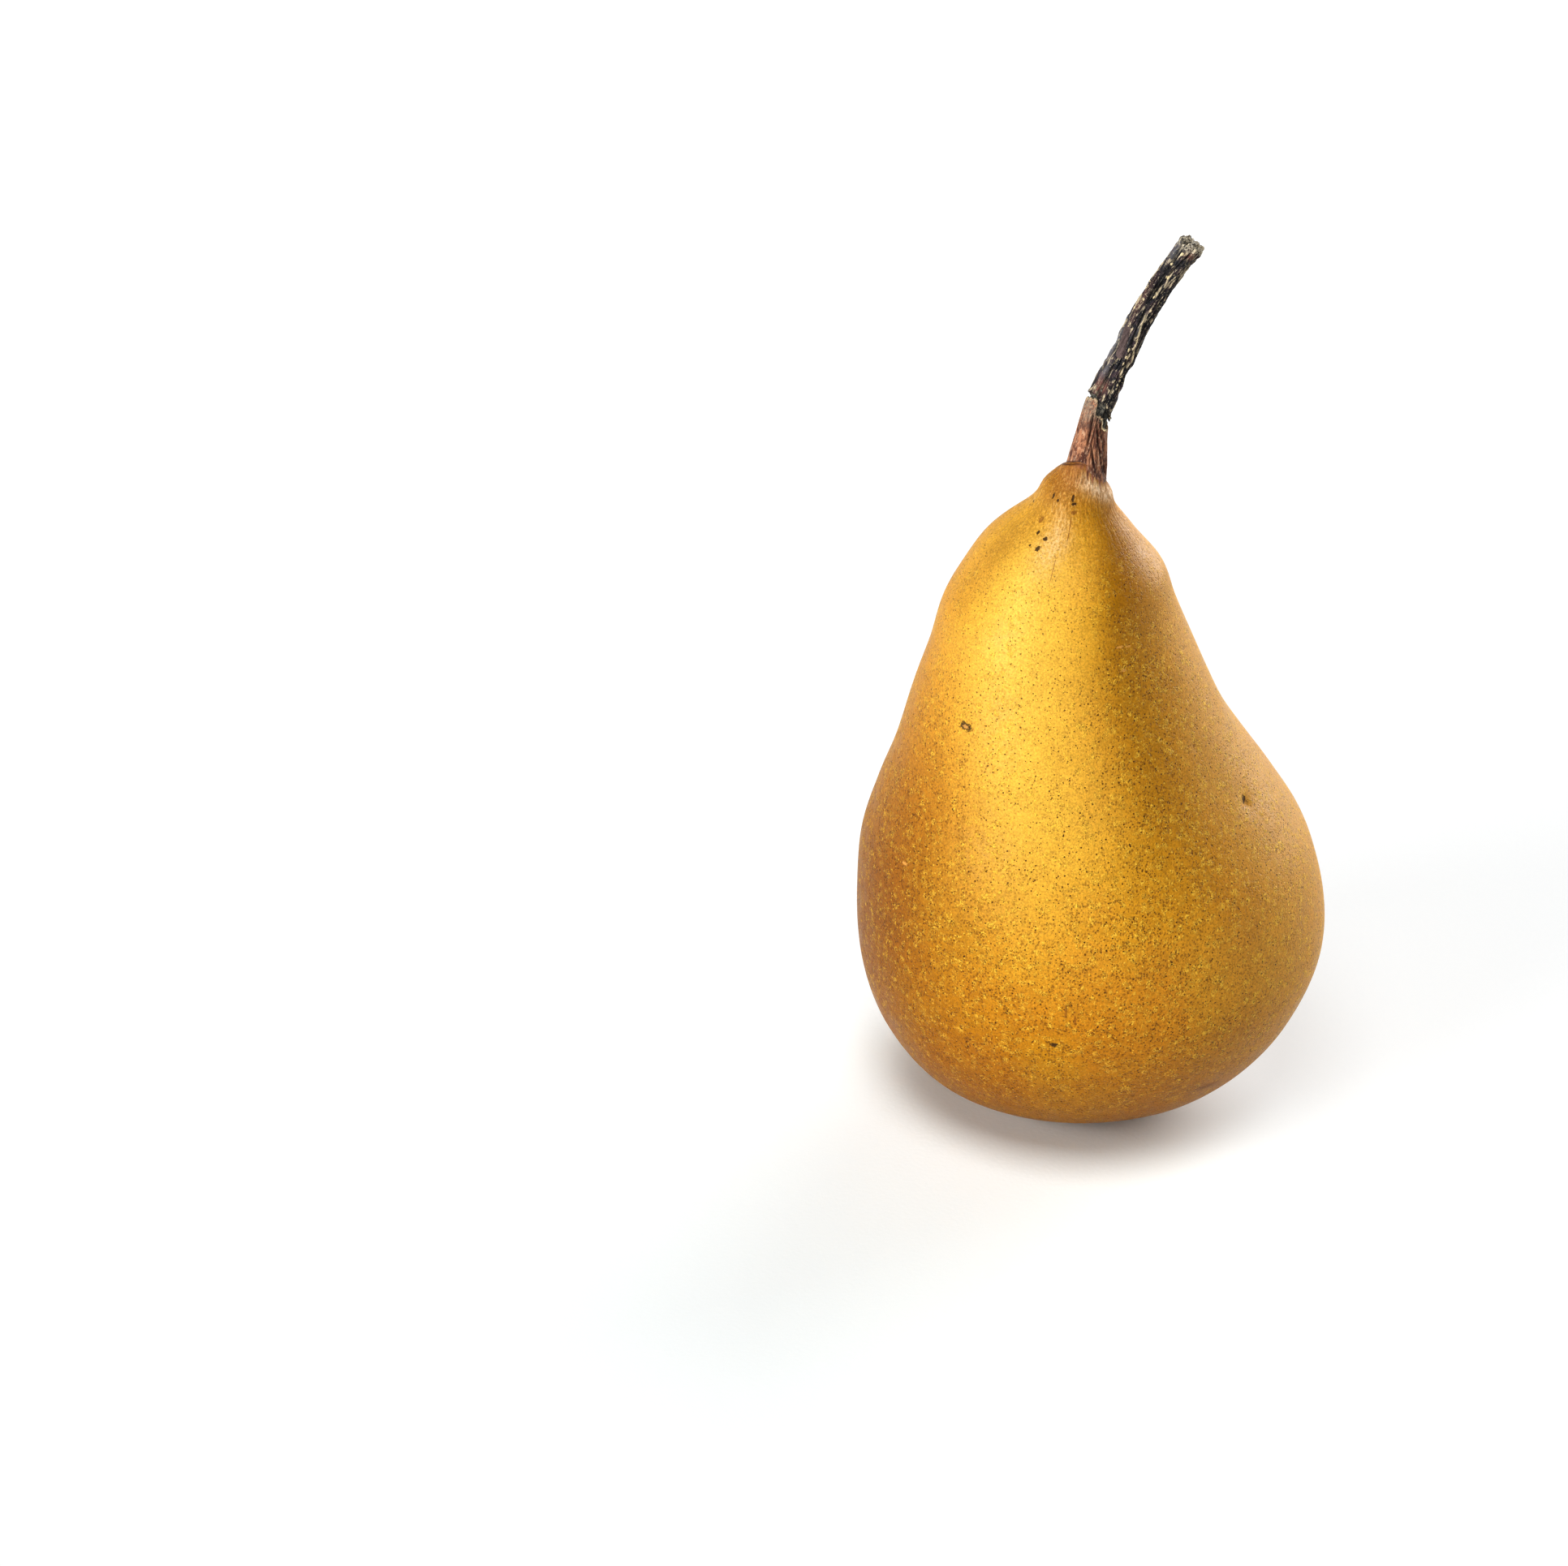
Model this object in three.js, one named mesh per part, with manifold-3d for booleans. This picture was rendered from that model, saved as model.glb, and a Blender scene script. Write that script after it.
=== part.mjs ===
// A long-necked russet pear that stands on its own base: the flesh with its skin, the woody stalk set in the top,
// and the dried calyx in the hollow underneath. Millimetres, +Z up. The origin is on the ground under the middle of
// the belly, +X is the side that the stalk bends to, and -Y is the front. Angles round the pear are compass degrees
// from +X towards +Y.

import * as THREE from "three";
import { mergeVertices } from "three/addons/utils/BufferGeometryUtils.js";
import Module from "manifold-3d";

const wasm = await Module();
wasm.setup();

// ---------------------------------------------------------------- driving dimensions

const TOUCH_GAP = 0.3; // left between pieces that touch

// The flesh from the outer edge of its flat foot up to the collar round the stalk: the height of each section, its
// radius, and how far its middle stands off the origin towards +X.
const FLESH_SECTIONS = [
  [0, 10.5, -1.7],
  [1.8, 17.6, -1.7],
  [6.5, 25.5, -1.4],
  [13, 30.7, -0.7],
  [21, 33.9, -0.2],
  [29, 34.8, -0.1],
  [40, 33.4, -1.2],
  [48, 30.3, -2.3],
  [56, 26.3, -3.3],
  [64, 22.7, -4.6],
  [72, 19.5, -5.5],
  [80, 16.6, -6.2],
  [87, 12.9, -4.9],
  [93, 7.6, -3.4],
  [97, 5.2, -3.9],
  [99, 4.1, -3.5],
];
const FOOT_LEAN = FLESH_SECTIONS[0][2];
const COLLAR_HEIGHT = FLESH_SECTIONS.at(-1)[0];
const DEPTH_RATIO = 0.985; // front to back, against side to side
const COLLAR_TILT = 0.4; // slope of the collar, which is higher on the side away from the stalk's bend
const TILT_FROM = 83; // height where the sections begin to tilt

// Where the flesh isn't round: the compass angle and the height of each swelling or dent, how far it stands out, and
// how far it fades, in degrees to each side and in millimetres up and down.
const SWELLINGS = [
  { angle: 150, height: 88, rise: 1.2, spread: 38, reach: 6 },
  { angle: 20, height: 59, rise: -0.7, spread: 50, reach: 11 },
  { angle: 250, height: 67, rise: 0.6, spread: 45, reach: 16 },
  { angle: 100, height: 45, rise: -0.5, spread: 40, reach: 15 },
];

// The hollow underneath, inside the ring that the pear stands on.
const FOOT_INNER_RADIUS = 8;
const HOLLOW_DEPTH = 4.9;
const CEILING_RADIUS = 3.2;
const HOLLOW_ROWS = 5;

// The stalk's middle line from its foot in the socket to its tip, and its radius at the same stations.
const STALK_LINE = [
  [-3.4, 0, 95.6],
  [-3.2, 0, 101],
  [-2.5, 0.3, 107],
  [-0.9, 0.6, 113],
  [1.7, 0.9, 119],
  [4.3, 1, 125],
  [7.7, 0.8, 131],
  [9.9, 0.5, 134.6],
];
const STALK_RADII = [2.7, 2.95, 2.25, 2.1, 1.83, 1.76, 1.76, 2];
const BREAK_HEIGHT = 110.4; // where the bark is torn across, low on the stalk
const BREAK_DEPTH = 0.5;
const BREAK_REACH = 0.6;
const BREAK_SLANT = 3.6; // how far the tear falls from its highest side to its lowest
const BREAK_HIGH_SIDE = 180;
const FOLDS = 5; // lengthwise wrinkles below the tear
const FOLD_DEPTH = 0.16;
const FOLD_FADE = 2;
const TIP_JAGS = 3;
const TIP_JAG_HEIGHT = 0.35;

// The calyx: a small disc against the hollow's ceiling, with sepals that spread from it and stamens that hang down.
const CALYX_RADIUS = 2.7;
const CALYX_THICKNESS = 1.1;
const CALYX_TOP = HOLLOW_DEPTH - TOUCH_GAP;
const CALYX_SIDES = 15;
const SEPALS = 5;
const SEPAL_WIDTH = 3;
const SEPAL_NARROWING = 0.85; // share of the width lost from root to tip
const SEPAL_THICKNESS = 0.7;
const SEPAL_THINNING = 0.4; // share of the thickness lost from root to tip
const SEPAL_ROOT = [1.6, 4]; // distance from the middle, and height
const SEPAL_BEND = [4.2, 3.7];
const SEPAL_TIP = [6, 1.5];
const SEPAL_ROWS = 6;
const STAMENS = 10;
const STAMEN_RADIUS = 0.32;
const STAMEN_LENGTH = 2.2;
const STAMEN_ROOT = 0.4; // how deep its root is sunk in the disc
const STAMEN_CIRCLE = 1.35;
const STAMEN_SPLAY = 18; // degrees outwards

const FLESH_SIDES = 48;
const FLESH_ROWS = 52;
const STALK_SIDES = 20;
const STALK_ROWS = 44;
const SOCKET_ROWS = 8;
const STAMEN_SIDES = 6;

const SKIN = { color: 0xc8922e, roughness: 0.5 };
const BARK = { color: 0x4a3a36, roughness: 0.8 };
const DRIED = { color: 0x3b2a1c, roughness: 0.9 };

// ---------------------------------------------------------------- helpers

const radians = THREE.MathUtils.degToRad;

// The smallest turn from one compass angle to another, between -180 and 180 degrees.
const turn = (from, to) => THREE.MathUtils.euclideanModulo(to - from + 180, 360) - 180;

const smoothCurve = (points) =>
  new THREE.CatmullRomCurve3(
    points.map((p) => new THREE.Vector3(...p)),
    false,
    "catmullrom",
  );

// One closed body through rings that hold the same number of points, each end closed by a fan to its middle.
function loft(rings) {
  const sides = rings[0].length;
  const middle = (ring) => ring.reduce((sum, p) => sum.add(p), new THREE.Vector3()).divideScalar(sides);
  const points = [middle(rings[0]), ...rings.flat(), middle(rings.at(-1))];
  const last = points.length - 1;
  const faces = [];
  for (let side = 0; side < sides; side++) {
    const next = (side + 1) % sides;
    faces.push(0, 1 + next, 1 + side);
    for (let low = 1; low + sides < last; low += sides) {
      const high = low + sides;
      faces.push(low + side, low + next, high + next);
      faces.push(low + side, high + next, high + side);
    }
    faces.push(last, last - sides + side, last - sides + next);
  }
  const geometry = new THREE.BufferGeometry().setFromPoints(points);
  geometry.setIndex(faces);
  return geometry;
}

// The same geometry with every corner shared by the faces that meet there.
function joined(geometry) {
  return mergeVertices(geometry.deleteAttribute("normal").deleteAttribute("uv"));
}

function toSolid(geometry) {
  return new wasm.Manifold(
    new wasm.Mesh({
      numProp: 3,
      vertProperties: new Float32Array(geometry.attributes.position.array),
      triVerts: new Uint32Array(geometry.index.array),
    }),
  );
}

function toGeometry(solid) {
  const { vertProperties, triVerts } = solid.getMesh();
  const geometry = new THREE.BufferGeometry();
  geometry.setAttribute("position", new THREE.BufferAttribute(vertProperties, 3));
  geometry.setIndex(new THREE.BufferAttribute(triVerts, 1));
  return geometry;
}

function namedMesh(name, geometry, look) {
  geometry.computeVertexNormals();
  const mesh = new THREE.Mesh(geometry, new THREE.MeshStandardMaterial({ ...look, metalness: 0 }));
  mesh.name = name;
  return mesh;
}

// ---------------------------------------------------------------- stalk

const stalkLine = smoothCurve(STALK_LINE);
const stalkRadius = smoothCurve(STALK_RADII.map((radius) => [radius, 0, 0]));

// The ring round the stalk at a share of its length from the foot (0) to the tip (1), grown by a margin.
function stalkRing(share, margin = 0) {
  const middle = stalkLine.getPoint(share);
  const along = stalkLine.getTangent(share);
  const across = new THREE.Vector3(0, 1, 0).cross(along).normalize();
  const deep = along.clone().cross(across);
  const radius = stalkRadius.getPoint(share).x + margin;
  const folded = FOLD_DEPTH * THREE.MathUtils.smoothstep(BREAK_HEIGHT - middle.z, 0, FOLD_FADE);
  const jagged = share === 1 ? TIP_JAG_HEIGHT : 0;
  return Array.from({ length: STALK_SIDES }, (_, side) => {
    const angle = (2 * Math.PI * side) / STALK_SIDES;
    const tearHeight = BREAK_HEIGHT + (BREAK_SLANT / 2) * Math.cos(angle - radians(BREAK_HIGH_SIDE));
    const offTear = (middle.z - tearHeight) / BREAK_REACH;
    const reach = radius - BREAK_DEPTH * Math.exp(-offTear * offTear) + folded * Math.cos(FOLDS * angle);
    return middle
      .clone()
      .addScaledVector(across, reach * Math.cos(angle))
      .addScaledVector(deep, reach * Math.sin(angle))
      .addScaledVector(along, jagged * Math.cos(TIP_JAGS * angle));
  });
}

function stemGeometry() {
  return loft(Array.from({ length: STALK_ROWS + 1 }, (_, row) => stalkRing(row / STALK_ROWS)));
}

// The room that the stalk's foot takes in the flesh: the foot with a gap all round, and on past the collar.
function socketSolid() {
  const rings = Array.from({ length: SOCKET_ROWS }, (_, row) => stalkRing(row / STALK_ROWS, TOUCH_GAP));
  const drop = stalkLine.getTangent(0).multiplyScalar(-TOUCH_GAP);
  const floor = rings[0].map((point) => point.clone().add(drop));
  return toSolid(loft([floor, ...rings]));
}

// ---------------------------------------------------------------- fruit

function swelling(angle, height) {
  return SWELLINGS.reduce((sum, s) => {
    const aside = turn(s.angle, angle) / s.spread;
    const above = (height - s.height) / s.reach;
    return sum + s.rise * Math.exp(-aside * aside - above * above);
  }, 0);
}

function fleshRing({ x: lean, y: radius, z: height }) {
  const tilt = COLLAR_TILT * THREE.MathUtils.smoothstep(height, TILT_FROM, COLLAR_HEIGHT);
  return Array.from({ length: FLESH_SIDES }, (_, side) => {
    const angle = (360 * side) / FLESH_SIDES;
    const reach = radius + swelling(angle, height);
    const x = reach * Math.cos(radians(angle));
    const y = reach * Math.sin(radians(angle)) * DEPTH_RATIO;
    return new THREE.Vector3(lean + x, y, height - tilt * x);
  });
}

// The hollow is a quarter turn of an ellipse from the foot's inner edge up to the flat ceiling.
function hollowRing(row) {
  const angle = (Math.PI / 2) * (row / HOLLOW_ROWS);
  const radius = CEILING_RADIUS + (FOOT_INNER_RADIUS - CEILING_RADIUS) * Math.sin(angle);
  return fleshRing(new THREE.Vector3(FOOT_LEAN, radius, HOLLOW_DEPTH * Math.cos(angle)));
}

function fruitGeometry() {
  const outline = smoothCurve(FLESH_SECTIONS.map(([height, radius, lean]) => [lean, radius, height]));
  const hollow = Array.from({ length: HOLLOW_ROWS + 1 }, (_, row) => hollowRing(row));
  const flesh = outline.getPoints(FLESH_ROWS).map(fleshRing);
  return toGeometry(toSolid(loft([...hollow, ...flesh])).subtract(socketSolid()));
}

// ---------------------------------------------------------------- calyx

// A pointed blade that bends from the disc out along the hollow's wall, for the sepal at a compass angle.
function sepalGeometry(angle) {
  const bend = new THREE.QuadraticBezierCurve(
    new THREE.Vector2(...SEPAL_ROOT),
    new THREE.Vector2(...SEPAL_BEND),
    new THREE.Vector2(...SEPAL_TIP),
  );
  const rings = Array.from({ length: SEPAL_ROWS + 1 }, (_, row) => {
    const share = row / SEPAL_ROWS;
    const { x: out, y: height } = bend.getPoint(share);
    const half = (SEPAL_WIDTH / 2) * (1 - SEPAL_NARROWING * share * share);
    const thick = (SEPAL_THICKNESS / 2) * (1 - SEPAL_THINNING * share);
    const section = [
      [half, 0],
      [0, thick],
      [-half, 0],
      [0, -thick],
    ];
    return section.map(([aside, above]) =>
      new THREE.Vector3(out, aside, height + above).applyAxisAngle(new THREE.Vector3(0, 0, 1), radians(angle)),
    );
  });
  return loft(rings);
}

// A stub that hangs from the disc and leans outwards, for the stamen at a compass angle.
function stamenGeometry(angle) {
  const middleHeight = CALYX_TOP - CALYX_THICKNESS + STAMEN_ROOT - STAMEN_LENGTH / 2;
  const upright = new THREE.CylinderGeometry(STAMEN_RADIUS, STAMEN_RADIUS, STAMEN_LENGTH, STAMEN_SIDES);
  const geometry = upright
    .rotateX(Math.PI / 2)
    .rotateY(-radians(STAMEN_SPLAY))
    .translate(STAMEN_CIRCLE, 0, middleHeight)
    .rotateZ(radians(angle));
  return joined(geometry);
}

function calyxGeometry() {
  const disc = new THREE.CylinderGeometry(CALYX_RADIUS, CALYX_RADIUS, CALYX_THICKNESS, CALYX_SIDES)
    .rotateX(Math.PI / 2)
    .translate(0, 0, CALYX_TOP - CALYX_THICKNESS / 2);
  let solid = toSolid(joined(disc));
  for (let sepal = 0; sepal < SEPALS; sepal++) {
    solid = solid.add(toSolid(sepalGeometry((360 * sepal) / SEPALS)));
  }
  for (let stamen = 0; stamen < STAMENS; stamen++) {
    solid = solid.add(toSolid(stamenGeometry((360 * stamen) / STAMENS)));
  }
  return toGeometry(solid).translate(FOOT_LEAN, 0, 0);
}

// ---------------------------------------------------------------- the pear

const pear = new THREE.Group();
pear.add(
  namedMesh("fruit", fruitGeometry(), SKIN),
  namedMesh("stem", stemGeometry(), BARK),
  namedMesh("calyx", calyxGeometry(), DRIED),
);

export default pear;
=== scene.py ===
"""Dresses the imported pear: russet-gold skin, torn woody stalk and dried calyx, on a pale floor, softly lit.

Metres, +Z up. Angles round the pear are compass degrees from +X towards +Y, so 270 degrees faces the camera.
"""

import math
from collections import namedtuple

import bpy
import numpy as np
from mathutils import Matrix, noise


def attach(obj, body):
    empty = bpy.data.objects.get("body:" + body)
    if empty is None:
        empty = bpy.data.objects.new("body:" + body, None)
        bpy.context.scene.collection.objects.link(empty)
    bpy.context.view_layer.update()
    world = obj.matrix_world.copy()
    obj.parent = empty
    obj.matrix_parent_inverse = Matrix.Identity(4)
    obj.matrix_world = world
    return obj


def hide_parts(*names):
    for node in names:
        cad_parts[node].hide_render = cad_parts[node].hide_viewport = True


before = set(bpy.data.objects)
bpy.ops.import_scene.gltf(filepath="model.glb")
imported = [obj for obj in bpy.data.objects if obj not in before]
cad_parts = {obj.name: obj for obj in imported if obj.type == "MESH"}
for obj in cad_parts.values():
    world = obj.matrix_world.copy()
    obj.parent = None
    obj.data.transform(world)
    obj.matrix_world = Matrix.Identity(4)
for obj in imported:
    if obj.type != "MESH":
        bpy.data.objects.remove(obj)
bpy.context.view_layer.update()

# A soft round patch on the pear or its stalk: where its middle is, how far it fades in degrees to each side
# and in metres up and down, and how much it counts for there.
Patch = namedtuple("Patch", "angle height spread reach amount")

# ---------------------------------------------------------------- shape of the flesh, as in the CAD

# The height of each section, its radius, and how far its middle stands off the origin towards +X.
FLESH_SECTIONS = [
    (0.0000, 0.0105, -0.0017),
    (0.0018, 0.0176, -0.0017),
    (0.0065, 0.0255, -0.0014),
    (0.0130, 0.0307, -0.0007),
    (0.0210, 0.0339, -0.0002),
    (0.0290, 0.0348, -0.0001),
    (0.0400, 0.0334, -0.0012),
    (0.0480, 0.0303, -0.0023),
    (0.0560, 0.0263, -0.0033),
    (0.0640, 0.0227, -0.0046),
    (0.0720, 0.0195, -0.0055),
    (0.0800, 0.0166, -0.0062),
    (0.0870, 0.0129, -0.0049),
    (0.0930, 0.0076, -0.0034),
    (0.0970, 0.0052, -0.0039),
    (0.0990, 0.0041, -0.0035),
]
FOOT_LEAN = FLESH_SECTIONS[0][2]
COLLAR_HEIGHT = FLESH_SECTIONS[-1][0]
DEPTH_RATIO = 0.985
COLLAR_TILT = 0.4  # slope of the collar, down towards +X
TILT_FROM = 0.083
SWELLINGS = [
    Patch(150, 0.088, 38, 0.006, 0.0012),
    Patch(20, 0.059, 50, 0.011, -0.0007),
    Patch(250, 0.067, 45, 0.016, 0.0006),
    Patch(100, 0.045, 40, 0.015, -0.0005),
]
FOOT_INNER_RADIUS = 0.008
HOLLOW_DEPTH = 0.0049
CEILING_RADIUS = 0.0032

# The flesh climbs the stalk to an uneven line. Its height at compass angles:
CLIMB = {
    0: 0.0996,
    55: 0.0998,
    110: 0.1006,
    180: 0.1018,
    215: 0.1026,
    249: 0.1032,
    268: 0.1028,
    288: 0.1019,
    313: 0.1006,
    345: 0.0998,
}
SHOULDER_SIDE = 205  # the side where it ends in a round shoulder with a crease behind it
SHOULDER_SPREAD = 54
# The width of the painted shade line along that crease.
CREASE_WIDTH = 0.00014
CLIMB_PULL = 0.42  # how far each end of the climb runs straight on, as a share of its span
CLIMB_PROUD = 0.00003  # how far the flesh's last edge stands off the bark
CLIMB_TUCK = (0.0001, 0.0005)  # how far down and inwards the flesh then goes on inside the stalk

# On the other sides the bark runs down into the skin in fibres, above a blond band of skin.
FIBRE_LENGTH = 0.0018
BARK_FADE = 0.0014
BLOND_DEPTH = 0.0022  # from the bark's end to the middle of the band
BLOND_WIDTH = 0.0012
BLOND_SIDE = 305  # where the band shows most

# ---------------------------------------------------------------- relief of the skin

FLESH_SIDES = 344
FLESH_ROWS = 230
CLIMB_ROWS = 30
HOLLOW_ROWS = 24
LUMPS = [  # features per metre, and height
    (38, 0.00022),
    (95, 0.00007),
]
LUMPS_FROM = (0.0005, 0.006)  # heights between which the lumps grow from nothing, which keeps the foot flat
FURROWS_FROM = (0.086, 0.097)  # heights between which lengthwise furrows deepen towards the stalk
FURROW_DEPTH = 0.00006
FURROW_TURNS = 14  # noise features round the neck
COLLAR_BLUSH = (0.0955, 0.1035)  # heights between which the skin turns from yellow to a warm brown
DENTS = [  # scars and pits that are big enough to be modelled
    Patch(333, 0.0538, 1.3, 0.0005, -0.00055),
    Patch(334, 0.0538, 5, 0.0018, -0.00025),
    Patch(226, 0.0679, 2.2, 0.0005, -0.00012),
    Patch(320, 0.0641, 1.8, 0.0006, -0.00018),
    Patch(320, 0.0560, 14, 0.0060, -0.00040),
    Patch(262, 0.0310, 0.5, 0.0016, -0.00010),
]

# ---------------------------------------------------------------- shape of the stalk, as in the CAD

STALK_LINE = [
    (-0.0034, 0.0000, 0.0956),
    (-0.0032, 0.0000, 0.1010),
    (-0.0025, 0.0003, 0.1070),
    (-0.0009, 0.0006, 0.1130),
    (0.0017, 0.0009, 0.1190),
    (0.0043, 0.0010, 0.1250),
    (0.0077, 0.0008, 0.1310),
    (0.0099, 0.0005, 0.1346),
]
STALK_RADII = [0.0027, 0.00295, 0.00225, 0.0021, 0.00183, 0.00176, 0.00176, 0.0020]
STALK_SIDES = 176

# The bark is torn right round. Heights of the lower and the upper edge of the tear at compass angles:
TEAR_LOWER = {
    0: 0.1074,
    90: 0.1096,
    180: 0.1112,
    233: 0.1119,
    248: 0.1117,
    255: 0.1099,
    292: 0.1097,
    308: 0.1082,
    345: 0.1075,
}
TEAR_UPPER = {
    0: 0.1086,
    90: 0.1104,
    180: 0.1121,
    233: 0.1123,
    250: 0.1120,
    275: 0.1115,
    303: 0.1109,
    325: 0.1099,
    345: 0.1091,
}
TEAR_RAGGED = 0.00016
BARK_THICKNESS = 0.00042
CORE_RADIUS = 0.00155
# The core's hollow between the torn edges, which is also painted near-black as shade.
CORE_HOLLOW = Patch(312, 0.1093, 22, 0.0013, -0.0010)  # a dark hole between the torn edges
LIP_FLARE = Patch(202, 0.1122, 40, 0.0007, 0.00024)
TUCK = 0.0012  # how far the core goes on behind each torn edge

# ---------------------------------------------------------------- helpers


def smoothstep(value, low, high):
    share = np.clip((value - low) / (high - low), 0, 1)
    return share * share * (3 - 2 * share)


def turn(start, end):
    """The smallest turn from one compass angle to another, between -180 and 180 degrees."""
    return (end - start + 180) % 360 - 180


def total(patches, angle, height):
    """What the patches add up to at each angle and height."""
    found = np.zeros(np.broadcast(angle, height).shape)
    for patch in patches:
        aside = turn(patch.angle, angle) / patch.spread
        above = (height - patch.height) / patch.reach
        found += patch.amount * np.exp(-(aside**2) - above**2)
    return found


def smooth_curve(points, shares):
    """The Catmull-Rom curve through the points, at shares of the way along it, as three.js draws it."""
    points = np.asarray(points, float)
    ends = 2 * points[0] - points[1], 2 * points[-1] - points[-2]
    padded = np.vstack([ends[0], points, ends[1]])
    place = np.clip(shares, 0, 1) * (len(points) - 1)
    segment = np.minimum(place.astype(int), len(points) - 2)
    weight = (place - segment)[..., None]
    before, start, end, after = (padded[segment + step] for step in range(4))
    leave = (end - before) / 2
    arrive = (after - start) / 2
    bend = 3 * (end - start) - 2 * leave - arrive
    twist = 2 * (start - end) + leave + arrive
    return start + leave * weight + bend * weight**2 + twist * weight**3


def unit(vectors):
    return vectors / np.linalg.norm(vectors, axis=-1, keepdims=True)


def noise_at(points, seed):
    """Smooth noise, about -0.6 to 0.6, at each point; one unit of the points is one feature."""
    shifted = (points + 17.3 * seed).reshape(-1, 3).tolist()
    return np.array([noise.noise(point) for point in shifted]).reshape(points.shape[:-1])


def veins(points, seed, width):
    """Thin winding lines: 1 along the line, down to 0 at the width, in the noise's own units."""
    return np.clip(1 - np.abs(noise_at(points, seed)) / width, 0, 1)


def around(angle, height, turns, per_metre):
    """Points for noise with that many features round a stalk or neck, and so many per metre along it."""
    angle, height = np.broadcast_arrays(np.radians(angle), height)
    return np.stack([turns * np.cos(angle), turns * np.sin(angle), per_metre * height], axis=-1)


def normals(grid):
    """Outward normals of rings of points, given as rows by sides by xyz."""
    sideways = np.roll(grid, -1, axis=1) - np.roll(grid, 1, axis=1)
    return unit(np.cross(sideways, np.gradient(grid, axis=0)))


def ring_mesh(name, rings, values=None):
    """One closed piece through rings of points, a fan over each end, and values per point as attributes."""
    rows, sides = rings.shape[:2]
    points = np.vstack([rings[0].mean(0), rings.reshape(-1, 3), rings[-1].mean(0)])
    last = len(points) - 1
    faces = []
    corners = []
    lengths = np.linalg.norm(np.diff(rings, axis=0), axis=-1).mean(1)
    along = np.concatenate([[0], np.cumsum(lengths)])
    along = 0.01 + 0.98 * along / along[-1]
    for side in range(sides):
        after = (side + 1) % sides
        left, right = side / sides, (side + 1) / sides
        faces.append((0, 1 + after, 1 + side))
        corners += [(left, 0), (right, along[0]), (left, along[0])]
        for row in range(rows - 1):
            low = 1 + row * sides
            high = low + sides
            faces.append((low + side, low + after, high + after, high + side))
            below, above = along[row], along[row + 1]
            corners += [(left, below), (right, below), (right, above), (left, above)]
        top = last - sides
        faces.append((last, top + side, top + after))
        corners += [(left, 1), (left, along[-1]), (right, along[-1])]
    mesh = bpy.data.meshes.new(name)
    mesh.from_pydata(points.tolist(), [], faces)
    mesh.uv_layers.new(name="OFBake").data.foreach_set("uv", np.array(corners, np.float32).ravel())
    for key, value in (values or {}).items():
        full = np.concatenate([[value[0].mean()], value.ravel(), [value[-1].mean()]])
        mesh.attributes.new(key, "FLOAT", "POINT").data.foreach_set("value", full.astype(np.float32))
    mesh.shade_smooth()
    piece = bpy.data.objects.new(name, mesh)
    bpy.context.scene.collection.objects.link(piece)
    return piece


def finish_piece(piece, material, node):
    piece.data.materials.append(material)
    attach(piece, "root")
    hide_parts(node)


# ---------------------------------------------------------------- materials


def srgb(red, green, blue):
    """A linear colour from 0 to 255 values as they look on screen."""
    shares = [value / 255 for value in (red, green, blue)]
    return tuple(s / 12.92 if s <= 0.04045 else ((s + 0.055) / 1.055) ** 2.4 for s in shares) + (1,)


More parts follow.
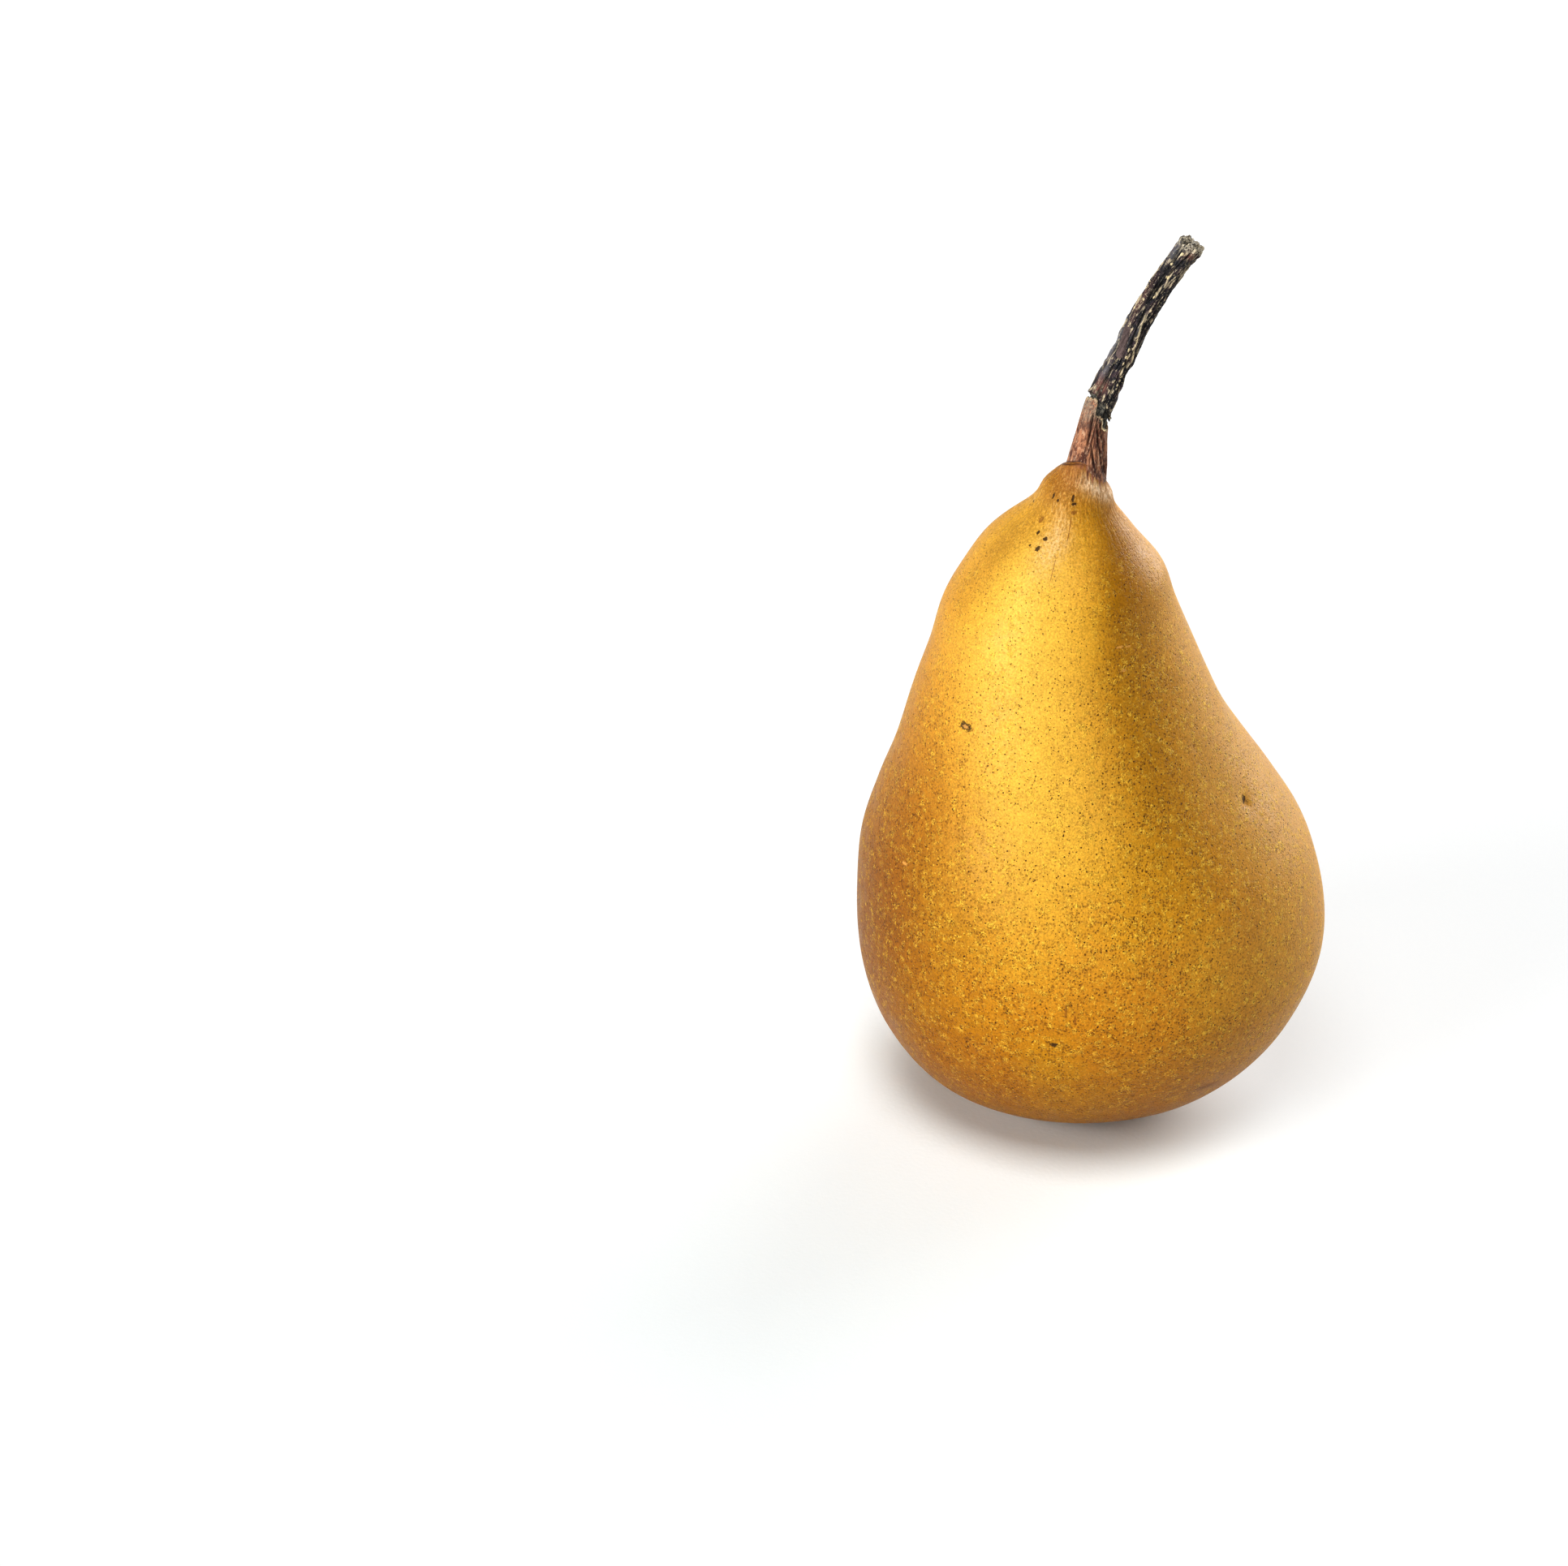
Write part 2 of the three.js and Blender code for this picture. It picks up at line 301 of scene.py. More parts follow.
class Paint:
    """The nodes of one material. Each method adds a node and gives back its output."""

    def __init__(self, name):
        self.material = bpy.data.materials.new(name)
        self.material.use_nodes = True
        self.tree = self.material.node_tree
        self.surface = self.tree.nodes["Principled BSDF"]
        millimetres = self.add("TexCoord", "Object")
        self.place = self.add("VectorMath", 0, {"Vector": millimetres, "Scale": 1000}, operation="SCALE")

    def add(self, kind, output, inputs=None, **settings):
        node = self.tree.nodes.new("ShaderNode" + kind)
        for key, value in settings.items():
            setattr(node, key, value)
        for socket, value in (inputs or {}).items():
            self.feed(node.inputs[socket], value)
        return node.outputs[output]

    def feed(self, socket, value):
        if isinstance(value, bpy.types.NodeSocket):
            self.tree.links.new(value, socket)
        else:
            socket.default_value = value

    def attribute(self, name):
        return self.add("Attribute", "Fac", attribute_name=name)

    def noise(self, per_mm, detail, roughness=0.5, distortion=0.0, place=None):
        inputs = {
            "Vector": place or self.place,
            "Scale": per_mm,
            "Detail": detail,
            "Roughness": roughness,
            "Distortion": distortion,
        }
        return self.add("TexNoise", 0, inputs)

    def math(self, operation, first, second=0.0):
        return self.add("Math", 0, {0: first, 1: second}, operation=operation)

    def times(self, first, second):
        return self.math("MULTIPLY", first, second)

    def step(self, value, low, high, start=0.0, end=1.0):
        """Goes smoothly from start to end as the value goes from low to high."""
        inputs = {0: value, 1: low, 2: high, 3: start, 4: end}
        return self.add("MapRange", 0, inputs, interpolation_type="SMOOTHSTEP")

    def mix(self, first, second, share):
        return self.add("Mix", 2, {0: share, 6: first, 7: second}, data_type="RGBA")

    def shaded(self, colour, level):
        """The colour times a level that is about 1."""
        grey = self.add("CombineColor", 0, {0: level, 1: level, 2: level})
        return self.add("Mix", 2, {0: 1.0, 6: colour, 7: grey}, data_type="RGBA", blend_type="MULTIPLY")

    def lines(self, per_mm, width, detail):
        """Thin curling lines where a noise crosses its middle."""
        level = self.noise(per_mm, detail, distortion=0.9)
        off = self.math("ABSOLUTE", self.math("SUBTRACT", level, 0.5))
        return self.step(off, width, width * 0.5)

    def clumps(self, per_mm, radius, share):
        """Round soft dots of up to the radius, in cells, one in some of the cells of a Voronoi pattern."""
        cell = self.add("TexVoronoi", "Distance", {"Vector": self.place, "Scale": per_mm}).node
        chosen = self.add("SeparateColor", 0, {0: cell.outputs["Color"]})
        size = self.times(self.step(chosen, 1 - share, 1 - 0.6 * share), radius)
        inside = self.math("SUBTRACT", size, cell.outputs["Distance"])
        return self.step(inside, -0.3 * radius, 0.3 * radius)

    def spot(self, point, angle, width, tall, ragged):
        """1 inside an upright oval on the surface round a point, and 0 outside."""
        inputs = {
            "Vector": self.place,
            "Location": [1000 * value for value in point],
            "Rotation": (0, 0, math.radians(angle)),
            "Scale": (SPOT_DEPTH, width / 2, tall / 2),
        }
        local = self.add("Mapping", 0, inputs, vector_type="TEXTURE")
        away = self.add("VectorMath", "Value", {0: local}, operation="LENGTH")
        away = self.math("ADD", away, ragged)
        return self.step(away, 1.15, 0.75)

    def finish(self, colour, roughness, height, depth, **constants):
        self.feed(self.surface.inputs["Base Color"], colour)
        self.feed(self.surface.inputs["Roughness"], roughness)
        bump = self.add("Bump", 0, {"Height": height, "Distance": depth, "Strength": 1.0})
        self.feed(self.surface.inputs["Normal"], bump)
        for name, value in constants.items():
            self.surface.inputs[name.replace("_", " ")].default_value = value
        return self.material


SPOT_DEPTH = 2.5  # millimetres that a mark reaches into the flesh and out of it

# Marks on the skin: compass angle, height in metres, width and height in millimetres.
DARK_MARKS = [
    (220, 0.0984, 0.40, 0.8),
    (230, 0.0980, 0.30, 0.4),
    (252, 0.0985, 0.32, 1.1),
    (256, 0.0978, 0.60, 0.45),
    (230, 0.0932, 0.60, 0.5),
    (221, 0.0921, 0.30, 0.3),
    (229, 0.0920, 0.75, 0.6),
    (220, 0.0936, 0.45, 0.45),
    (183, 0.0961, 0.30, 0.3),
    (333, 0.0538, 1.20, 1.4),
    (258, 0.0259, 1.20, 0.7),
    (226, 0.0679, 1.90, 1.15),
]
BROWN_MARKS = [
    (213, 0.0950, 0.80, 0.9),
    (255, 0.0967, 0.90, 0.5),
    (250, 0.0945, 0.16, 4.5),
    (249, 0.0900, 0.14, 4.0),
    (320, 0.0641, 0.80, 0.4),
    (261, 0.0318, 0.40, 2.4),
    (263, 0.0303, 0.40, 2.0),
    (303, 0.0132, 5.00, 1.4),
]
PALE_MARKS = [
    (257, 0.0976, 0.25, 0.25),
    (226, 0.0679, 1.10, 0.55),
    (210, 0.0749, 0.30, 0.4),
    (297, 0.0802, 1.10, 0.3),
    (302, 0.0800, 0.80, 0.3),
    (297, 0.0771, 1.00, 0.5),
    # A painted highlight beside the pit at 333 degrees.
    (330.3, 0.0545, 0.30, 0.7),
    (212, 0.0458, 1.20, 0.6),
]

# Where the skin leans towards each look. The gold and brown looks are partly a painted highlight and painted
# shade.
OLIVE = [
    Patch(301, 0.087, 17, 0.013, 0.9),
    Patch(300, 0.067, 16, 0.015, 0.9),
    Patch(296, 0.051, 18, 0.010, 0.35),
    Patch(279, 0.046, 12, 0.007, 0.15),
    Patch(235, 0.044, 22, 0.009, 0.3),
    Patch(262, 0.0965, 60, 0.0060, 0.5),
    Patch(60, 0.060, 40, 0.020, 0.6),
    Patch(140, 0.040, 35, 0.014, 0.5),
    Patch(20, 0.034, 30, 0.010, 0.4),
]
TAN = [
    Patch(345, 0.070, 36, 0.030, 1.0),
    Patch(345, 0.037, 34, 0.030, 0.75),
    Patch(190, 0.060, 25, 0.030, 0.2),
    Patch(303, 0.036, 26, 0.016, 0.35),
    Patch(100, 0.085, 60, 0.014, 0.5),
    Patch(322, 0.061, 9, 0.009, 0.5),
]
# Brown skin and painted shade: the first patch, darker towards the bottom, is partly russet and partly
# painted shade under the pear; the second is a painted shadow on the left flank.
BROWN_AND_SHADE = [
    Patch(270, 0.000, 360, 0.024, 1.0),
    Patch(200, 0.042, 36, 0.026, 0.95),
    Patch(318, 0.034, 26, 0.018, 0.15),
    Patch(120, 0.030, 60, 0.014, 0.5),
    Patch(335, 0.0900, 26, 0.0120, 0.9),
    Patch(300, 0.062, 30, 0.030, 0.08),
    Patch(230, 0.0995, 50, 0.0045, 0.6),
    Patch(307, 0.088, 16, 0.012, 0.35),
    Patch(200, 0.089, 18, 0.008, 0.45),
]
# Golden skin, and a painted highlight: the broad first patch lies where the key light's highlight falls.
GOLD_AND_HIGHLIGHT = [
    Patch(245, 0.082, 52, 0.022, 1.0),
    Patch(252, 0.052, 26, 0.018, 0.6),
    Patch(278, 0.058, 18, 0.012, 0.2),
    Patch(190, 0.093, 40, 0.010, 0.6),
]
DOTTED = [
    Patch(270, 0.034, 360, 0.026, 0.6),
    Patch(310, 0.062, 40, 0.026, 0.6),
    Patch(225, 0.066, 30, 0.014, 0.3),
    Patch(60, 0.066, 60, 0.020, 0.5),
]
# A painted highlight: pale streaks on the neck below the collar.
PAINTED_SHEEN = Patch(240, 0.0930, 12, 0.0034, 0.45)  # pale streaks below the collar


def skin_material():
    paint = Paint("pear_skin")
    olive, tan, brown_and_shade = (paint.attribute(name) for name in ("olive", "tan", "brown_and_shade"))
    gold_and_highlight, dotted, streaky = (paint.attribute(name) for name in ("gold_and_highlight", "dotted", "streaky"))
    barky, cleft, crease = (paint.attribute(name) for name in ("barky", "cleft", "crease"))
    blond_and_highlight = paint.attribute("blond_and_highlight")

    broad = paint.noise(0.05, 2)
    mottle = paint.noise(0.35, 3, 0.55)
    colour = paint.mix(srgb(217, 158, 20), srgb(206, 141, 14), paint.step(broad, 0.4, 0.6))
    # Golden skin, its paler colour partly a painted highlight.
    colour = paint.mix(colour, srgb(229, 188, 84), paint.times(gold_and_highlight, 0.85))
    colour = paint.mix(colour, srgb(178, 128, 8), paint.times(olive, 0.85))
    # Brown skin, which also holds the painted shade under the pear and on its left flank.
    colour = paint.mix(colour, srgb(128, 74, 4), paint.times(brown_and_shade, 0.85))
    colour = paint.mix(colour, srgb(202, 150, 62), paint.times(tan, 0.85))
    colour = paint.shaded(colour, paint.step(mottle, 0.3, 0.7, 0.95, 1.04))
    colour = paint.mix(colour, srgb(150, 98, 50), paint.times(paint.attribute("collar"), 0.85))

    # Lengthwise streaks near the stalk.
    drawn_out = paint.add("VectorMath", 0, {0: paint.place, 1: (2.0, 2.0, 0.25)}, operation="MULTIPLY")
    streaks = paint.noise(1.6, 4, 0.65, place=drawn_out)
    dark_streaks = paint.times(paint.step(streaks, 0.5, 0.66), paint.times(streaky, 0.35))
    pale_streaks = paint.times(paint.step(streaks, 0.46, 0.34), paint.times(streaky, 0.3))
    colour = paint.mix(colour, srgb(146, 92, 24), dark_streaks)
    colour = paint.mix(colour, srgb(236, 200, 120), pale_streaks)
    # Pale streaks over the blond band of skin, and over the painted highlight below the collar.
    blond_and_highlight_streaks = paint.times(blond_and_highlight, paint.step(streaks, 0.62, 0.4, 0.35, 1.0))
    colour = paint.mix(colour, srgb(230, 202, 168), blond_and_highlight_streaks)

    # Russet: a faint grain, groups of brown granules and pale curls, and pale specks and dark pins all over.
    thick = paint.step(dotted, 0, 0.6, 0.7, 1.0)
    thick = paint.times(thick, paint.step(streaky, 0, 1, 1.0, 0.25))
    grain = paint.step(paint.noise(3.6, 2, 0.6), 0.36, 0.64, 0.84, 1.1)
    colour = paint.shaded(colour, grain)
    crowd = paint.math("ADD", paint.noise(0.5, 3, 0.7), paint.times(dotted, 0.08))
    crowd = paint.step(crowd, 0.42, 0.64, 0.25, 1.0)
    crowd = paint.times(crowd, thick)
    granules = paint.times(paint.clumps(2.6, 0.40, 1.0), crowd)
    granules = paint.times(granules, paint.step(paint.math("MAXIMUM", gold_and_highlight, tan), 0, 1, 1.0, 0.5))
    colour = paint.mix(colour, srgb(106, 56, 4), paint.times(granules, 0.56))
    curls = paint.times(paint.lines(2.3, 0.08, 1.0), paint.clumps(0.95, 0.5, 0.9))
    curls = paint.times(curls, crowd)
    speck = paint.math("MAXIMUM", paint.clumps(1.2, 0.16, 0.7), paint.clumps(2.0, 0.15, 0.7))
    flecks = paint.math("MAXIMUM", curls, paint.times(speck, thick))
    flecks = paint.times(flecks, paint.step(brown_and_shade, 0, 1, 1.0, 0.65))
    colour = paint.mix(colour, srgb(247, 205, 78), paint.times(flecks, 0.7))
    pins = paint.math("MAXIMUM", paint.clumps(1.3, 0.15, 0.8), paint.clumps(2.2, 0.17, 0.7))
    pins = paint.times(pins, thick)
    colour = paint.mix(colour, srgb(66, 30, 2), paint.times(pins, 0.9))

    bark = paint.mix(srgb(118, 70, 50), srgb(182, 128, 98), paint.step(streaks, 0.38, 0.6))
    colour = paint.mix(colour, bark, barky)
    # The bark's wrinkles on the neck darker with depth: partly the bark's own dark, partly painted shade in
    # them.
    colour = paint.mix(colour, srgb(52, 28, 22), paint.times(cleft, 0.8))
    # A painted shade line along the crease where the flesh meets the stalk.
    colour = paint.mix(colour, srgb(70, 34, 20), paint.times(crease, 0.8))

    ragged = paint.step(paint.noise(2.2, 3, 0.7), 0.25, 0.75, -0.45, 0.45)
    masks = []
    looks = [
        (BROWN_MARKS, srgb(116, 62, 24), 0.55),
        (DARK_MARKS, srgb(52, 30, 16), 0.88),
        (PALE_MARKS, srgb(214, 160, 84), 0.75),
    ]
    for marks, mark_colour, strength in looks:
        mask = 0.0
        for angle, height, width, tall in marks:
            at = np.interp(height, flesh_surface(OUTLINE_AT, angle)[:, 2], OUTLINE_AT)
            point = flesh_surface(at, angle)
            mask = paint.math("MAXIMUM", mask, paint.spot(point, angle, width, tall, ragged))
        colour = paint.mix(colour, mark_colour, paint.times(mask, strength))
        masks.append(mask)

    roughness = paint.math("ADD", paint.step(mottle, 0.3, 0.7, 0.36, 0.45), paint.times(flecks, 0.12))
    height = paint.math("SUBTRACT", paint.times(flecks, 0.9), paint.times(granules, 1.2))
    height = paint.math("SUBTRACT", height, pins)
    height = paint.math("SUBTRACT", height, paint.times(dark_streaks, 1.5))
    height = paint.math("SUBTRACT", height, masks[1])
    return paint.finish(colour, roughness, height, 0.00007, Specular_IOR_Level=0.18)


# ---------------------------------------------------------------- fruit


def flesh_outline():
    """The outline from the foot's edge to the collar: distance along it, and lean, radius and height."""
    sections = [(lean, radius, height) for height, radius, lean in FLESH_SECTIONS]
    points = smooth_curve(sections, np.linspace(0, 1, 2400))
    steps = np.linalg.norm(np.diff(points[:, 1:], axis=0), axis=1)
    return np.concatenate([[0], np.cumsum(steps)]), points


OUTLINE_AT, OUTLINE = flesh_outline()


def ring_points(lean, radius, height, angle):
    """Points of the flesh at an angle, for a section with that lean, radius and height."""
    tilt = COLLAR_TILT * smoothstep(height, TILT_FROM, COLLAR_HEIGHT)
    reach = radius + total(SWELLINGS, angle, height)
    x = reach * np.cos(np.radians(angle))
    y = reach * np.sin(np.radians(angle)) * DEPTH_RATIO
    return np.stack(np.broadcast_arrays(lean + x, y, height - tilt * x), axis=-1)


def flesh_surface(at, angle):
    """The flesh without its relief, at a distance along the outline and a compass angle."""
    lean, radius, height = (np.interp(at, OUTLINE_AT, OUTLINE[:, axis]) for axis in range(3))
    return ring_points(lean, radius, height, angle)


def climb_rings(angle):
    """Rings from the collar up to the line where the flesh ends on the stalk, and one inside the stalk."""
    line = climb_height(angle)
    start = flesh_surface(OUTLINE_AT[-1], angle)
    up_flesh = unit(start - flesh_surface(OUTLINE_AT[-1] - 0.0004, angle))
    radius = stalk_radius(line)
    end = stalk_surface(line, angle, radius + CLIMB_PROUD)
    inside = stalk_surface(line - CLIMB_TUCK[0], angle, radius - CLIMB_TUCK[1])
    up_stalk = unit(stalk_surface(line + 0.0005, angle, radius) - stalk_surface(line, angle, radius))
    shoulder = shoulder_share(angle)[:, None]
    over_shoulder = unit(end - start) + 0.9 * unit(inside - end)
    arrive = unit((1 - shoulder) * up_stalk + shoulder * over_shoulder)
    span = np.linalg.norm(end - start, axis=-1, keepdims=True)
    low_pull = start + up_flesh * span * CLIMB_PULL
    high_pull = end - arrive * span * CLIMB_PULL
    rings = []
    for share in np.linspace(0, 1, CLIMB_ROWS)[1:]:
        rest = 1 - share
        bend = 3 * rest**2 * share * low_pull + 3 * rest * share**2 * high_pull
        rings.append(rest**3 * start + bend + share**3 * end)
    return np.stack(rings + [inside])


def make_fruit():
    angles = np.arange(FLESH_SIDES) * 360 / FLESH_SIDES
    quarter = np.linspace(0, np.pi / 2, HOLLOW_ROWS)[:, None]
    hollow_radius = CEILING_RADIUS + (FOOT_INNER_RADIUS - CEILING_RADIUS) * np.sin(quarter)
    hollow = ring_points(FOOT_LEAN, hollow_radius, HOLLOW_DEPTH * np.cos(quarter), angles)
    at = np.linspace(0, OUTLINE_AT[-1], FLESH_ROWS)[:, None]
    rings = np.concatenate([hollow, flesh_surface(at, angles), climb_rings(angles)])
    heights = rings[..., 2]

    relief = total(DENTS, angles, heights)
    grown = smoothstep(heights, *LUMPS_FROM)
    for seed, (per_metre, rise) in enumerate(LUMPS):
        relief += grown * rise * 2 * noise_at(rings * per_metre, seed)
    below_line = climb_height(angles) - heights
    near_stalk = smoothstep(heights, *FURROWS_FROM)
    fibres = noise_at(around(angles, heights, 7, 110), 6)
    climbing = 1 - shoulder_share(angles)
    fibre_depth = below_line + FIBRE_LENGTH * climbing * fibres
    barky = np.sqrt(climbing) * (1 - smoothstep(fibre_depth, 0.0002, 0.0003 + BARK_FADE * climbing))
    facing = 0.35 + 0.65 * np.cos(np.radians(angles - BLOND_SIDE)).clip(0)
    furrows = veins(around(angles, heights, FURROW_TURNS, 40), 5, 0.35)
    wrinkles, wrinkle_depth = crack_relief(LOWER_CRACKS, 30, angles, heights)
    settled = smoothstep(below_line, 0, 0.0010)
    relief -= settled * (FURROW_DEPTH * near_stalk * furrows * (1 - barky) + 0.6 * barky * wrinkle_depth)
    relief[-1] = 0
    rings = rings + normals(rings) * relief[..., None]

    blond_band = climbing * facing * np.exp(-(((below_line - BLOND_DEPTH) / BLOND_WIDTH) ** 2))
    values = {
        "olive": total(OLIVE, angles, heights),
        "tan": total(TAN, angles, heights),
        "brown_and_shade": total(BROWN_AND_SHADE, angles, heights),
        "gold_and_highlight": total(GOLD_AND_HIGHLIGHT, angles, heights),
        "dotted": total(DOTTED, angles, heights),
        "streaky": near_stalk,
        "barky": barky,
        "cleft": 0.7 * wrinkles * barky,
        "collar": smoothstep(heights, *COLLAR_BLUSH),
        # The blond band of skin, plus the painted highlight below the collar.
        "blond_and_highlight": blond_band + total([PAINTED_SHEEN], angles, heights),
        # painted shade along the crease at the shoulder
        "crease": shoulder_share(angles) * np.exp(-((below_line / CREASE_WIDTH) ** 2)),
    }
    fruit = ring_mesh("pear_fruit", rings, values)
    finish_piece(fruit, skin_material(), "fruit")


# ---------------------------------------------------------------- stalk

Row = namedtuple("Row", "height radius zone")
LOWER, INSIDE, UPPER, TIP = 0, 1, 2, 3

STALK_SHARES = np.linspace(0, 1, 1200)
STALK_HEIGHTS = smooth_curve(STALK_LINE, STALK_SHARES)[:, 2]
STALK_TOP = STALK_HEIGHTS[-1]
ROOT_DEPTH = 0.0008  # how far the stalk goes on into the flesh
LOWER_ROWS = 110
UPPER_ROWS = 260
EDGE_ROWS = 6
CORE_ROWS = 22
TIP_ROWS = 12
TIP_RISE = 0.0007
TIP_RAGGED = 0.00035
TIP_KNOBS = 0.00012
TIP_CLOSED = 0.00012  # radius of the last ring, which a fan closes

# Noise cracks in the bark: features round the stalk and per metre along it, line width and depth.
UPPER_CRACKS = [
    (1.9, 90, 0.17, 0.00034),
    (3.8, 210, 0.24, 0.00020),
    (7.5, 480, 0.40, 0.00010),
]
LOWER_CRACKS = [
    (2.2, 50, 0.14, 0.00028),
    (4.2, 120, 0.22, 0.00016),
    (8.0, 300, 0.40, 0.00005),
]

# A line that winds along the stalk through these compass angles and heights.
Stroke = namedtuple("Stroke", "angles heights width")
FURROWS = [
    Stroke((254, 253, 247), (0.1056, 0.1079, 0.1098), 0.00013),
    Stroke((331, 313, 304, 291, 272), (0.0992, 0.1026, 0.1047, 0.1067, 0.1086), 0.00017),
    Stroke((335, 313, 284), (0.1044, 0.1066, 0.1090), 0.00014),
    Stroke((297, 284, 272), (0.1006, 0.1031, 0.1052), 0.00014),
    Stroke((344, 340, 328), (0.0990, 0.1020, 0.1060), 0.00015),
    Stroke((60, 40, 20), (0.0995, 0.1030, 0.1065), 0.00015),
    Stroke((120, 105, 90), (0.1010, 0.1045, 0.1090), 0.00015),
]
FURROW_CUT = 0.00038
RIDGE = Stroke((316, 297, 278, 266), (0.1178, 0.1200, 0.1225, 0.1247), 0.00011)
RIDGE_RISE = 0.00018
SMOOTH = Stroke((243, 231, 213), (0.1180, 0.1203, 0.1226), 0.00075)
BARE_SIDE = 302  # the side of the lower stalk that has lost its outer bark
BARE_SPREAD = 48
BARE_FROM = (0.1045, 0.1068)
BARE_STEP = 0.00026
WRINKLED_SIDE = 320
WRINKLED_SPREAD = 75
AGED_FROM = (0.1070, 0.1105)  # heights between which the lower stalk turns grey towards the tear
RIM_SIDE = 318  # where the pale rim of the lower bark shows most
RIM_SPREAD = 25
RIM_WIDTH = 0.00022
UPPER_LUMPS = 0.00018
LOWER_LUMPS = 0.00012
CRUST_LUMPS = 0.00012
CORE_LUMPS = 0.00030

# Pale pores on the upper bark: compass angle, height and size.
PORES = [
    (273, 0.1195, 0.00026),
    (279, 0.1186, 0.00026),
    (279, 0.1176, 0.00022),
    (297, 0.1159, 0.00018),
    (299, 0.1153, 0.00017),
    (296, 0.1147, 0.00016),
    (297, 0.1142, 0.00015),
    (255, 0.1279, 0.00018),
    (255, 0.1273, 0.00015),
    (279, 0.1256, 0.00019),
    (230, 0.1319, 0.00017),
    (252, 0.1303, 0.00020),
    (246, 0.1339, 0.00018),
]
LOOSE_PORES = 22
LOOSE_FROM = 0.1130
LOOSE_SIZES = (0.00008, 0.00014)
PORE_RISE = 0.00012
PORE_SPREAD_RADIUS = 0.0018  # of the stalk, which turns a pore's size into degrees
WARM = [
    Patch(203, 0.1256, 24, 0.0032, 0.5),
    Patch(244, 0.1137, 16, 0.0009, 1.2),
    Patch(218, 0.1138, 24, 0.0013, 1.1),
    Patch(60, 0.1180, 40, 0.0040, 0.8),
    Patch(120, 0.1280, 30, 0.0050, 0.6),
    Patch(290, 0.1343, 30, 0.0006, 1.2),
]
GREY = [
    Patch(184, 0.1190, 24, 0.0034, 1.0),
    Patch(208, 0.1336, 26, 0.0014, 1.0),
    Patch(215, 0.1155, 22, 0.0014, 0.7),
    Patch(262, 0.1222, 12, 0.0022, 0.5),
    Patch(20, 0.1250, 30, 0.0050, 0.6),
    Patch(140, 0.1190, 30, 0.0040, 0.6),
]


def around_table(table, angle):
    """Looks up a table from compass angle to height, all the way round."""
    angles, heights = list(table), list(table.values())
    return np.interp(np.asarray(angle) % 360, angles + [360], heights + heights[:1])


def climb_height(angle):
    """The height where the flesh ends on the stalk."""
    return sum(around_table(CLIMB, angle + aside) for aside in (-16, -8, 0, 8, 16)) / 5


def shoulder_share(angle):
    """1 where the flesh meets the stalk in a shoulder and crease, 0 where it runs up into it smoothly."""
    return np.exp(-((turn(SHOULDER_SIDE, angle) / SHOULDER_SPREAD) ** 4))


def stalk_surface(height, angle, radius):
    """Points at a radius and angle round the stalk's middle line, where the line has that height."""
    share = np.interp(height, STALK_HEIGHTS, STALK_SHARES)
    middle = smooth_curve(STALK_LINE, share)
    along = unit(smooth_curve(STALK_LINE, share + 0.001) - smooth_curve(STALK_LINE, share - 0.001))
    past_tip = np.maximum(height - STALK_TOP, 0)[..., None]
    across = unit(np.cross((0.0, 1.0, 0.0), along))
    deep = np.cross(along, across)
    turned = np.radians(angle)
    aside = across * np.cos(turned)[..., None] + deep * np.sin(turned)[..., None]
    return middle + along * past_tip + aside * np.asarray(radius)[..., None]


def stalk_radius(height):
    share = np.interp(height, STALK_HEIGHTS, STALK_SHARES)
    return smooth_curve([(radius,) for radius in STALK_RADII], share)[..., 0]


def tear_edge(table, angle, seed):
    """The height of a torn edge at each angle, ragged."""
    return around_table(table, angle) + TEAR_RAGGED * 2 * noise_at(around(angle, 0, 5, 0), seed)


def stroke_share(stroke, angle, height):
    """1 on the middle of a stroke, fading to both sides and to its ends."""
    middle = np.interp(height, stroke.heights, stroke.angles)
    aside = np.radians(turn(middle, angle)) * stalk_radius(height)
    low, high = stroke.heights[0], stroke.heights[-1]
    fade = 0.15 * (high - low)
    shown = smoothstep(height, low - fade, low + fade) * (1 - smoothstep(height, high - fade, high + fade))
    return shown * np.exp(-((aside / stroke.width) ** 2))


def crack_relief(cracks, seed, angle, height):
    """Noise cracks: how dark they are painted, from 0 to 1, which is partly painted shade, and how deep they
    go in metres.
    """
    dark = 0.0
    deep = 0.0
    for number, (turns, per_metre, width, depth) in enumerate(cracks):
        lines = veins(around(angle, height, turns, per_metre), seed + number, width)
        dark = np.maximum(dark, lines * depth / cracks[0][3])
        deep = deep + lines * depth
    return dark, deep


